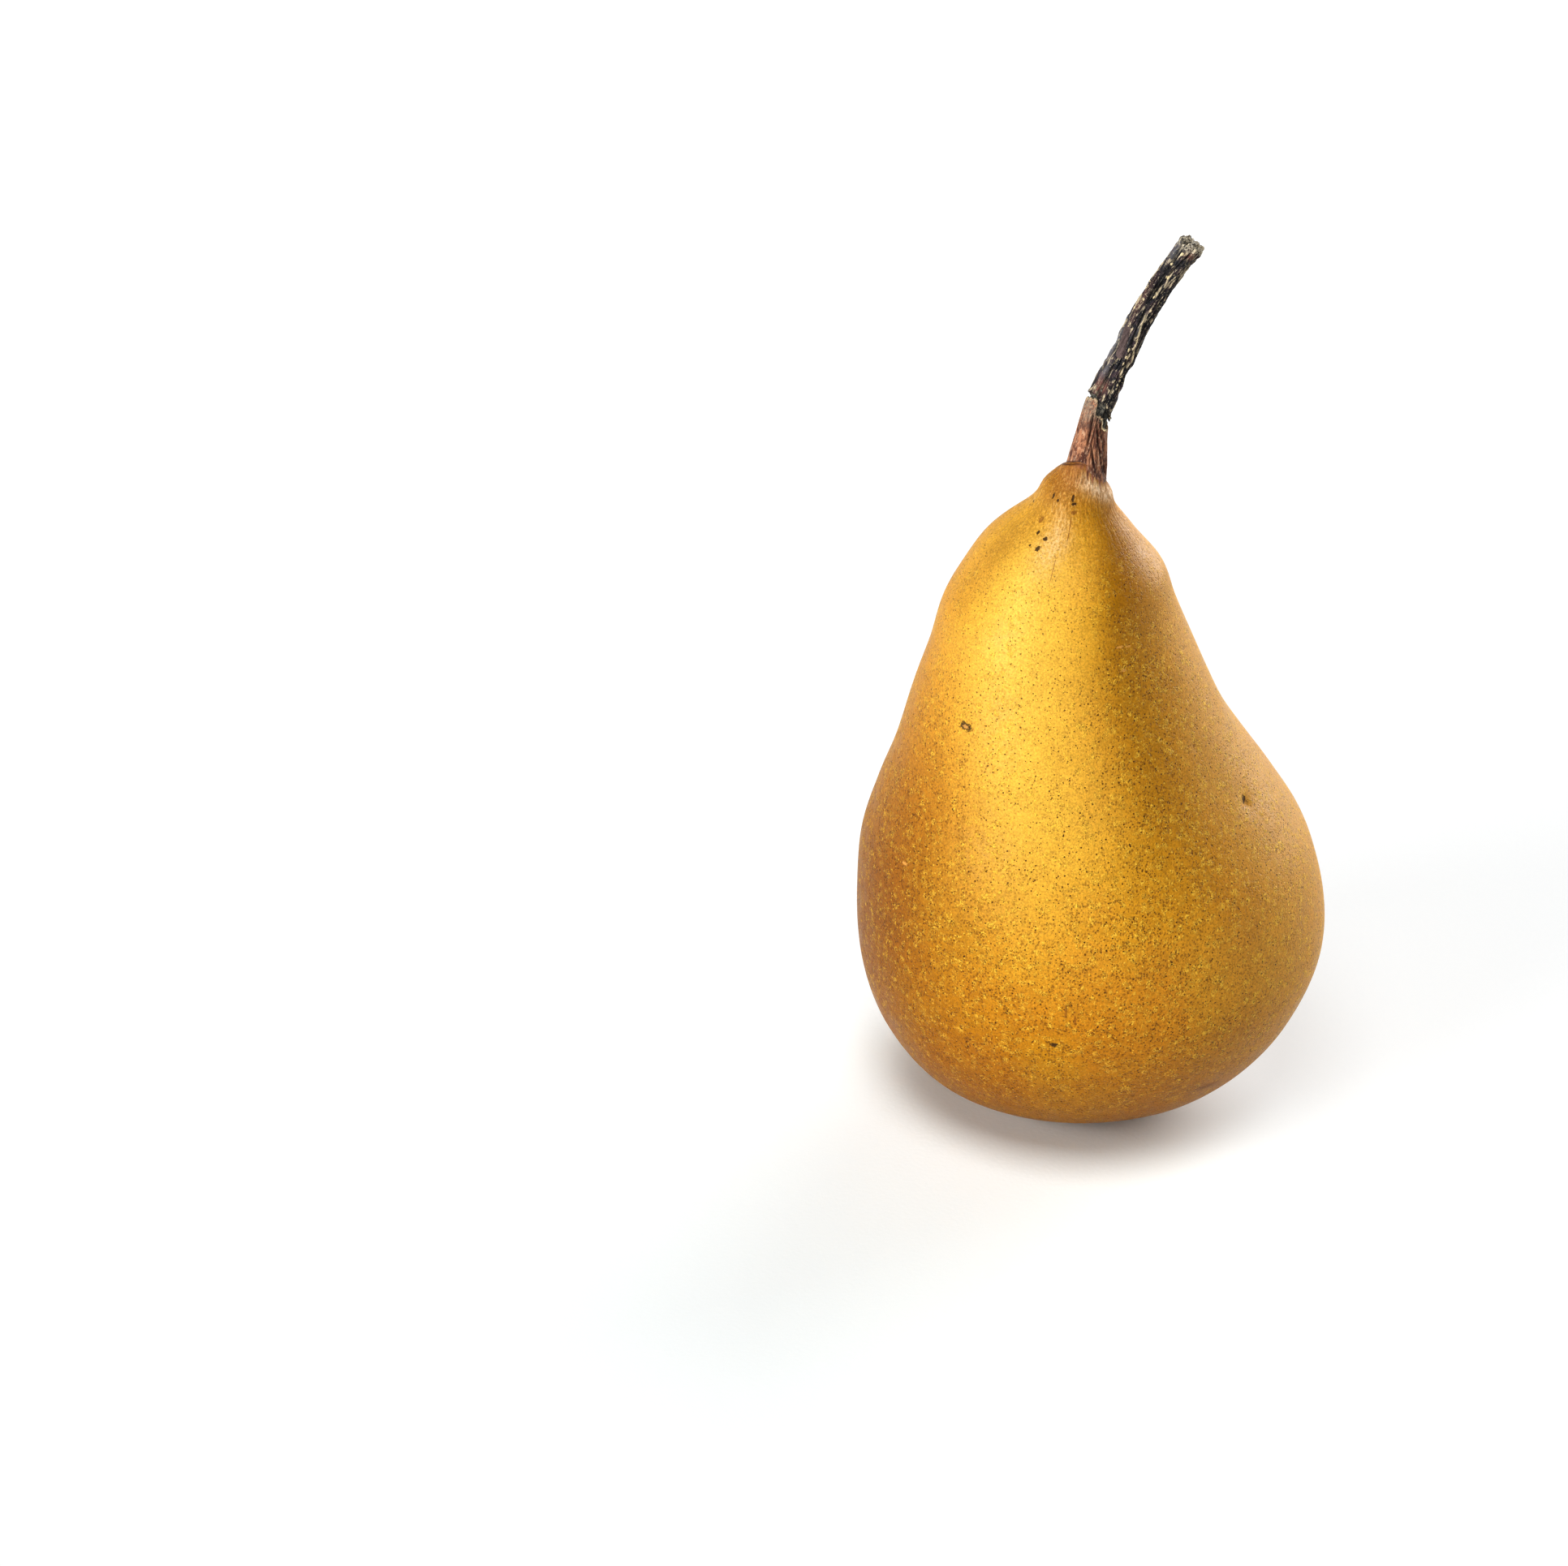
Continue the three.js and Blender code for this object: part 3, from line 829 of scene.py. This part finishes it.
def stalk_rows(angle):
    """The stalk's rows from inside the flesh up to the tip, in and out of the tear on the way."""
    lower_edge = tear_edge(TEAR_LOWER, angle, 11)
    upper_edge = tear_edge(TEAR_UPPER, angle, 12)
    upper_edge = np.maximum(upper_edge, lower_edge + 0.0003)
    root = climb_height(angle) - ROOT_DEPTH
    rows = []

    def climb(start, end, count, start_radius, end_radius):
        for share in np.linspace(0, 1, count, endpoint=False):
            height = start + (end - start) * share
            rows.append(Row(height, start_radius + (end_radius - start_radius) * share, INSIDE))

    def turn_edge(edge, outside, inwards, zone, way):
        for share in inwards:
            bulge = way * 0.3 * BARK_THICKNESS * math.sin(math.pi * share)
            rows.append(Row(edge + bulge, outside - BARK_THICKNESS * share, zone))

    for share in np.linspace(0, 1, LOWER_ROWS, endpoint=False):
        height = root + (lower_edge - root) * share
        rows.append(Row(height, stalk_radius(height), LOWER))
    lower_rim = stalk_radius(lower_edge)
    turn_edge(lower_edge, lower_rim, np.linspace(0, 1, EDGE_ROWS), LOWER, 1)
    core = CORE_RADIUS + total([CORE_HOLLOW], angle, (lower_edge + upper_edge) / 2)
    climb(lower_edge - 0.0002, lower_edge - TUCK, EDGE_ROWS, lower_rim - BARK_THICKNESS, CORE_RADIUS)
    climb(lower_edge - TUCK, (lower_edge + upper_edge) / 2, CORE_ROWS // 2, CORE_RADIUS, core)
    climb((lower_edge + upper_edge) / 2, upper_edge + TUCK, CORE_ROWS // 2, core, CORE_RADIUS)
    upper_rim = stalk_radius(upper_edge) + total([LIP_FLARE], angle, upper_edge)
    climb(upper_edge + TUCK, upper_edge + 0.0002, EDGE_ROWS, CORE_RADIUS, upper_rim - BARK_THICKNESS)
    turn_edge(upper_edge, upper_rim, np.linspace(1, 0, EDGE_ROWS), UPPER, -1)
    for share in np.linspace(0, 1, UPPER_ROWS)[1:]:
        height = upper_edge + (STALK_TOP - upper_edge) * share
        rows.append(Row(height, stalk_radius(height) + total([LIP_FLARE], angle, height), UPPER))
    jagged = TIP_RAGGED * 2 * noise_at(around(angle, 0, 2.5, 0), 13)
    for share in np.linspace(0, 1, TIP_ROWS + 1)[1:]:
        rounded = math.sin(0.5 * math.pi * min(2.2 * share, 1)) - 0.5 * max(share - 0.45, 0)
        reach = stalk_radius(STALK_TOP) * math.cos(0.5 * math.pi * share) ** 0.55
        height = STALK_TOP + 1e-5 + TIP_RISE * rounded + jagged * math.sin(math.pi * min(share, 0.8))
        rows.append(Row(height, np.full_like(angle, max(reach, TIP_CLOSED)), TIP))
    return rows


def pore_share(angle, height):
    """1 on the pale pores of the upper bark: those seen in a row up the front, and loose ones all round."""
    draw = np.random.default_rng(8)
    pores = list(PORES)
    for _ in range(LOOSE_PORES):
        spot = draw.uniform(0, 360), draw.uniform(LOOSE_FROM, STALK_TOP - 0.001)
        pores.append((*spot, draw.uniform(*LOOSE_SIZES)))
    found = np.zeros_like(height)
    for pore_angle, pore_height, size in pores:
        spread = math.degrees(size / PORE_SPREAD_RADIUS)
        pore = Patch(pore_angle, pore_height, spread, 1.25 * size, 1)
        found = np.maximum(found, total([pore], angle, height))
    return smoothstep(found * (1 + 1.2 * noise_at(around(angle, height, 9, 2600), 44)), 0.25, 0.6)


def make_stem():
    angle = np.arange(STALK_SIDES) * 360 / STALK_SIDES
    rows = stalk_rows(angle)
    height = np.stack([np.broadcast_to(row.height, angle.shape) for row in rows])
    radius = np.stack([np.broadcast_to(row.radius, angle.shape) for row in rows])
    zone = np.array([row.zone for row in rows])[:, None] + np.zeros_like(height)
    angle = angle + np.zeros_like(height)
    rings = stalk_surface(height, angle, radius)
    is_lower, is_inside, is_upper = zone == LOWER, zone == INSIDE, zone >= UPPER
    above_flesh = height - climb_height(angle)
    shoulder = shoulder_share(angle)

    upper_dark, upper_deep = crack_relief(UPPER_CRACKS, 20, angle, height)
    lower_dark, lower_deep = crack_relief(LOWER_CRACKS, 30, angle, height)
    furrow = np.maximum.reduce([stroke_share(stroke, angle, height) for stroke in FURROWS])
    bare = np.exp(-((turn(BARE_SIDE, angle) / BARE_SPREAD) ** 6)) * smoothstep(height, *BARE_FROM)
    wrinkled = np.maximum(np.exp(-((turn(WRINKLED_SIDE, angle) / WRINKLED_SPREAD) ** 4)), 0.3)
    smooth = smoothstep(stroke_share(SMOOTH, angle, height), 0.3, 0.6)
    crest = stroke_share(RIDGE, angle, height)
    pores = pore_share(angle, height)
    broad = noise_at(around(angle, height, 0.9, 130), 40)
    crust = noise_at(around(angle, height, 5.5, 900), 42)

    upper_relief = UPPER_LUMPS * broad + CRUST_LUMPS * crust - upper_deep
    upper_relief = upper_relief * (1 - smooth) + RIDGE_RISE * crest + PORE_RISE * pores
    lower_relief = LOWER_LUMPS * broad - lower_deep * wrinkled - FURROW_CUT * furrow - BARE_STEP * bare
    lower_relief = lower_relief * smoothstep(above_flesh, -0.0002, 0.0012)
    inside_relief = CORE_LUMPS * noise_at(around(angle, height, 3, 700), 41)
    knobs = TIP_KNOBS * 2 * noise_at(rings * 1300, 43) * smoothstep(height, STALK_TOP - 0.0012, STALK_TOP)
    relief = np.select([is_lower, is_inside], [lower_relief, inside_relief], upper_relief + knobs)
    rings = rings + normals(rings) * relief[..., None]

    lower_line = tear_edge(TEAR_LOWER, angle[0], 11)
    rim_share = 0.35 + 0.65 * np.exp(-((turn(RIM_SIDE, angle) / RIM_SPREAD) ** 2))
    rim = rim_share * np.exp(-(((height - lower_line) / RIM_WIDTH) ** 2))
    lower_cleft = np.maximum(lower_dark * wrinkled, furrow)
    upper_cleft = upper_dark * (1 - smooth) * (1 - pores)
    values = {
        "upper": is_upper.astype(float),
        "inside": is_inside.astype(float),
        "tip": smoothstep(height, STALK_TOP - 0.0006, STALK_TOP + 0.0002) * is_upper,
        "cleft": np.clip(np.where(is_upper, upper_cleft, lower_cleft), 0, 1),
        "smooth": smooth * is_upper,
        "pale": np.clip(np.where(is_upper, np.maximum(pores, 0.7 * crest), rim * is_lower), 0, 1),
        "warm": total(WARM, angle, height) * is_upper,
        "grey": total(GREY, angle, height) * is_upper,
        "bare": bare * is_lower,
        "aged": smoothstep(height, *AGED_FROM) * is_lower,
        # painted shade along the crease where the stalk meets the flesh
        "crease": shoulder * np.exp(-((np.maximum(above_flesh, 0) / CREASE_WIDTH) ** 2)),
        "crust": 0.5 + crust,
        # painted shade in the hollow between the torn edges
        "painted_hole_shade": total([CORE_HOLLOW._replace(amount=1)], angle, height) * is_inside,
        "across": np.cos(np.radians(angle)),
        "deep": np.sin(np.radians(angle)),
    }
    stem = ring_mesh("pear_stem", rings, values)
    finish_piece(stem, bark_material(), "stem")


def bark_material():
    paint = Paint("stalk_bark")
    upper, inside, tip = (paint.attribute(name) for name in ("upper", "inside", "tip"))
    cleft, smooth, pale = (paint.attribute(name) for name in ("cleft", "smooth", "pale"))
    warm, grey, bare = (paint.attribute(name) for name in ("warm", "grey", "bare"))
    crease, aged = (paint.attribute(name) for name in ("crease", "aged"))

    # Noise that runs along the stalk: its place is the way round it and the height.
    up = paint.add("SeparateXYZ", 2, {0: paint.place})
    inputs = {0: paint.attribute("across"), 1: paint.attribute("deep"), 2: paint.times(up, 0.16)}
    grain_place = paint.add("CombineXYZ", 0, inputs)
    streaks = paint.noise(3.6, 4, 0.65, place=grain_place)
    fine = paint.noise(9, 3, 0.6, place=grain_place)
    mottle = paint.noise(0.9, 3, 0.6)
    specks = paint.noise(3.6, 3, 0.65)

    old = paint.mix(srgb(22, 20, 31), srgb(78, 60, 66), paint.step(mottle, 0.46, 0.62))
    old = paint.mix(old, srgb(146, 98, 82), paint.times(warm, 0.8))
    crusty = paint.times(paint.step(streaks, 0.49, 0.57), paint.step(paint.attribute("crust"), 0.34, 0.6))
    old = paint.mix(old, srgb(226, 208, 176), paint.times(crusty, 0.9))
    old = paint.mix(old, srgb(160, 158, 162), paint.times(grey, 0.5))
    flakes = paint.times(paint.step(specks, 0.6, 0.64), 0.75)
    old = paint.mix(old, srgb(206, 194, 162), flakes)
    patch = paint.mix(srgb(72, 56, 54), srgb(112, 94, 90), paint.step(streaks, 0.4, 0.62))
    old = paint.mix(old, patch, smooth)

    young = paint.mix(srgb(98, 54, 36), srgb(188, 134, 98), paint.step(streaks, 0.4, 0.58))
    young = paint.mix(young, srgb(160, 142, 122), paint.times(aged, paint.step(mottle, 0.3, 0.6)))
    young = paint.mix(young, srgb(106, 92, 84), paint.times(aged, paint.step(specks, 0.52, 0.62)))
    young = paint.mix(young, srgb(164, 108, 84), paint.times(bare, 0.35))
    # Pale fine streaks over the lower bark, painted as highlights on its ridges.
    young = paint.mix(young, srgb(222, 188, 156), paint.times(paint.step(fine, 0.54, 0.64), 0.6))
    # Dark in the cracks of the bark, partly its own dark and partly painted shade.
    young = paint.mix(young, srgb(44, 16, 12), paint.times(cleft, 0.9))
    old = paint.mix(old, srgb(6, 5, 9), paint.times(cleft, 0.95))

    colour = paint.mix(young, old, upper)
    colour = paint.mix(colour, srgb(240, 222, 180), paint.times(pale, 0.95))
    rough_tip = paint.times(tip, paint.step(specks, 0.4, 0.56))
    colour = paint.mix(colour, srgb(204, 194, 172), rough_tip)
    core = paint.mix(srgb(58, 60, 58), srgb(134, 128, 114), paint.step(specks, 0.42, 0.6))
    # A near-black painted shade in the hollow between the torn edges.
    core = paint.mix(core, srgb(8, 7, 8), paint.attribute("painted_hole_shade"))
    colour = paint.mix(colour, core, inside)
    # A painted shade line along the crease where the stalk meets the flesh.
    colour = paint.mix(colour, srgb(60, 28, 20), paint.times(crease, 0.85))

    roughness = paint.step(mottle, 0.3, 0.7, 0.5, 0.75)
    height = paint.math("ADD", streaks, paint.times(paint.math("ADD", fine, specks), 0.6))
    return paint.finish(colour, roughness, height, 0.0003, Specular_IOR_Level=0.5)


# ---------------------------------------------------------------- calyx

CALYX_RADIUS = 0.0027
CALYX_TOP = 0.0046
CALYX_THICKNESS = 0.0011
SEPALS = 5
SEPAL_WIDTH = 0.0030
SEPAL_THICKNESS = 0.00045
SEPAL_ROOT = (0.0016, 0.0040)
SEPAL_BEND = (0.0042, 0.0037)
SEPAL_TIP = (0.0060, 0.0015)
SEPAL_ROWS = 28
SEPAL_SIDES = 20
SEPAL_CURL = 0.0016
SEPAL_LUMPS = 0.00012
STAMENS = 20
STAMEN_RADIUS = 0.00016
STAMEN_LENGTH = 0.0022
STAMEN_CIRCLES = (0.0008, 0.00145)
STAMEN_WAVE = 0.0003


def tube_rings(line, widths, depths, side_way, sides):
    """Oval rings along a line; side_way points across it, and depth goes square to both."""
    along = unit(np.gradient(line, axis=0))
    aside = unit(side_way - along * (along @ side_way)[:, None])
    over = np.cross(along, aside)
    turned = np.linspace(0, 2 * np.pi, sides, endpoint=False)
    return (
        line[:, None]
        + aside[:, None] * (widths[:, None] * np.cos(turned))[..., None]
        + over[:, None] * (depths[:, None] * np.sin(turned))[..., None]
    )


def turned_about_z(points, angle, middle_x):
    cos, sin = math.cos(math.radians(angle)), math.sin(math.radians(angle))
    x, y, z = np.moveaxis(points, -1, 0)
    return np.stack([middle_x + x * cos - y * sin, x * sin + y * cos, z], axis=-1)


def make_calyx():
    pieces = []
    draw = np.random.default_rng(3)
    share = np.linspace(0, 1, SEPAL_ROWS)
    rest = 1 - share
    root, bend, tip = (np.array([out, 0, height]) for out, height in (SEPAL_ROOT, SEPAL_BEND, SEPAL_TIP))
    line = np.outer(rest**2, root) + np.outer(2 * rest * share, bend) + np.outer(share**2, tip)
    for sepal in range(SEPALS):
        widths = SEPAL_WIDTH / 2 * (1 - 0.9 * share**2) * (1 + 0.08 * np.sin(9 * share + sepal))
        depths = SEPAL_THICKNESS / 2 * (1 - 0.5 * share)
        rings = tube_rings(line, widths, depths, np.array([0, 1.0, 0]), SEPAL_SIDES)
        curl = (rings[..., 1] / SEPAL_WIDTH) ** 2 * SEPAL_CURL * share[:, None]
        rings[..., 2] += curl + SEPAL_LUMPS * noise_at(rings * 900, 50 + sepal)
        pieces.append(turned_about_z(rings, 360 * sepal / SEPALS, FOOT_LEAN))
    for stamen in range(STAMENS):
        circle = STAMEN_CIRCLES[stamen % 2]
        length = STAMEN_LENGTH * draw.uniform(0.6, 1)
        splay = math.radians(draw.uniform(5, 26))
        share = np.linspace(0, 1, 10)
        out = circle + length * np.sin(splay) * share**1.4
        wave = STAMEN_WAVE * np.sin(3 * share + stamen)
        line = np.stack([out, wave, CALYX_TOP - CALYX_THICKNESS - length * share], 1)
        swell = STAMEN_RADIUS * (1 + 1.1 * np.exp(-(((share - 0.9) / 0.12) ** 2)))
        rings = tube_rings(line, swell, swell, np.array([0, 1.0, 0]), 8)
        pieces.append(turned_about_z(rings, 360 * stamen / STAMENS + draw.uniform(-6, 6), FOOT_LEAN))
    heights = np.linspace(CALYX_TOP, CALYX_TOP - CALYX_THICKNESS, 8)
    line = np.stack([0 * heights, 0 * heights, heights], 1)
    swell = CALYX_RADIUS * (1 - 0.18 * np.linspace(0, 1, 8) ** 2)
    disc = tube_rings(line, swell, swell, np.array([0, 1.0, 0]), 60)
    disc = disc * (1 + 0.05 * noise_at(disc * 1200, 60))[..., None] * (1, 1, 0) + disc * (0, 0, 1)
    pieces.append(turned_about_z(disc, 0, FOOT_LEAN))

    parts = [ring_mesh(f"calyx_part_{number}", rings) for number, rings in enumerate(pieces)]
    with bpy.context.temp_override(active_object=parts[0], selected_editable_objects=parts):
        bpy.ops.object.join()
    calyx = parts[0]
    calyx.name = "pear_calyx"
    finish_piece(calyx, calyx_material(), "calyx")


def calyx_material():
    paint = Paint("dried_calyx")
    mottle = paint.noise(1.2, 4, 0.65)
    fibres = paint.noise(5.0, 3, 0.6)
    colour = paint.mix(srgb(46, 32, 22), srgb(104, 76, 48), paint.step(mottle, 0.35, 0.65))
    colour = paint.mix(colour, srgb(142, 112, 74), paint.times(paint.step(fibres, 0.55, 0.7), 0.5))
    roughness = paint.step(mottle, 0.3, 0.7, 0.75, 0.95)
    height = paint.math("ADD", mottle, fibres)
    return paint.finish(colour, roughness, height, 0.00015, Specular_IOR_Level=0.3)


# ---------------------------------------------------------------- studio

CAMERA_LENS = 100  # millimetres, on a 36 mm sensor
CAMERA_ELEVATION = 30
CAMERA_DISTANCE = 0.640
CAMERA_AIM = (-0.04585, 0, 0.0498)
FLOOR_SIZE = 6.0
FLOOR_DROP = 0.00005

# The floor glows with painted light, like a light table, except for a painted shadow near the pear. The
# middle of that
# painted shadow, and the distances from it between which the glow grows, with its gain:
FLOOR_PAINTED_SHADOW = (-0.030, -0.035, 0)
FLOOR_PAINTED_GLOW = [
    (0.038, 0.066, 0.7),
    (0.150, 0.600, 0.3),
]

# Softboxes: compass direction and elevation as seen from the pear, distance, width and height, watts.
Softbox = namedtuple("Softbox", "name azimuth elevation distance width height watts")
SOFTBOXES = [
    Softbox("key", 213, 21, 3.0, 1.5, 1.5, 80),
    Softbox("top", 250, 70, 3.0, 1.5, 1.5, 60),
    Softbox("rim", 50, 14, 3.0, 3.0, 1.2, 110),
]
HORIZON_GLOW = (0.12, 0.20)  # rise of the view between which the world goes from white to dim
WORLD_DIM = 0.02
PRINT_GAMMA = 0.8  # more contrast, like the print of a photograph


def pointing(azimuth, elevation):
    """The unit vector towards a compass direction and elevation."""
    turned, raised = math.radians(azimuth), math.radians(elevation)
    flat = math.cos(raised)
    return np.array([flat * math.cos(turned), flat * math.sin(turned), math.sin(raised)])


def make_camera():
    data = bpy.data.cameras.new("camera")
    data.lens = CAMERA_LENS
    data.clip_start = 0.01
    camera = bpy.data.objects.new("camera", data)
    camera.location = np.array(CAMERA_AIM) + CAMERA_DISTANCE * pointing(270, CAMERA_ELEVATION)
    camera.rotation_euler = (math.radians(90 - CAMERA_ELEVATION), 0, 0)
    bpy.context.scene.collection.objects.link(camera)
    bpy.context.scene.camera = camera


def make_lights():
    for box in SOFTBOXES:
        data = bpy.data.lights.new(box.name, "AREA")
        data.shape = "RECTANGLE"
        data.size, data.size_y = box.width, box.height
        data.energy = box.watts
        light = bpy.data.objects.new(box.name, data)
        light.location = pointing(box.azimuth, box.elevation) * box.distance
        light.rotation_euler = (math.radians(90 - box.elevation), 0, math.radians(box.azimuth + 90))
        light.visible_camera = False
        bpy.context.scene.collection.objects.link(light)


def make_world():
    """White at the horizon, where low views see past the floor, and dim above it for the softboxes' sake."""
    world = bpy.data.worlds.new("studio")
    world.use_nodes = True
    tree = world.node_tree
    direction = tree.nodes.new("ShaderNodeTexCoord")
    split = tree.nodes.new("ShaderNodeSeparateXYZ")
    glow = tree.nodes.new("ShaderNodeMapRange")
    glow.interpolation_type = "SMOOTHSTEP"
    low, high = HORIZON_GLOW
    for socket, value in zip(glow.inputs[1:5], (low, high, 1.0, WORLD_DIM)):
        socket.default_value = value
    background = tree.nodes["Background"]
    background.inputs["Color"].default_value = (1, 1, 1, 1)
    tree.links.new(direction.outputs["Generated"], split.inputs[0])
    tree.links.new(split.outputs["Z"], glow.inputs[0])
    tree.links.new(glow.outputs[0], background.inputs["Strength"])
    bpy.context.scene.world = world


def make_floor():
    half = FLOOR_SIZE / 2
    corners = [(x, y, -FLOOR_DROP) for x, y in ((-half, -half), (half, -half), (half, half), (-half, half))]
    mesh = bpy.data.meshes.new("floor")
    mesh.from_pydata(corners, [], [(0, 1, 2, 3)])
    paint = Paint("floor_painted_glow")
    tone = paint.mix(srgb(246, 250, 251), srgb(249, 253, 253), paint.noise(0.02, 2))
    painted_shadow_middle = [1000 * value for value in FLOOR_PAINTED_SHADOW]
    away = paint.add("VectorMath", "Value", {0: paint.place, 1: painted_shadow_middle}, operation="DISTANCE")
    # A painted glow that grows with distance from the painted shadow's middle, while the floor's own colour
    # fades out under it.
    glow = 0.0
    for near, far, gain in FLOOR_PAINTED_GLOW:
        grown = paint.step(away, 1000 * near, 1000 * far, 0.0, gain)
        glow = paint.math("ADD", glow, grown)
        tone = paint.mix(tone, srgb(0, 0, 0), grown)
    paint.feed(paint.surface.inputs["Emission Strength"], glow)
    paint.surface.inputs["Emission Color"].default_value = (1, 1, 1, 1)
    mesh.materials.append(paint.finish(tone, 0.9, paint.noise(1.5, 2), 0.00002, Specular_IOR_Level=0.2))
    floor = bpy.data.objects.new("floor", mesh)
    bpy.context.scene.collection.objects.link(floor)


make_camera()
make_lights()
make_world()
make_floor()
make_fruit()
make_stem()
make_calyx()
bpy.context.scene.view_settings.view_transform = "Standard"
bpy.context.scene.view_settings.gamma = PRINT_GAMMA

bpy.context.view_layer.update()
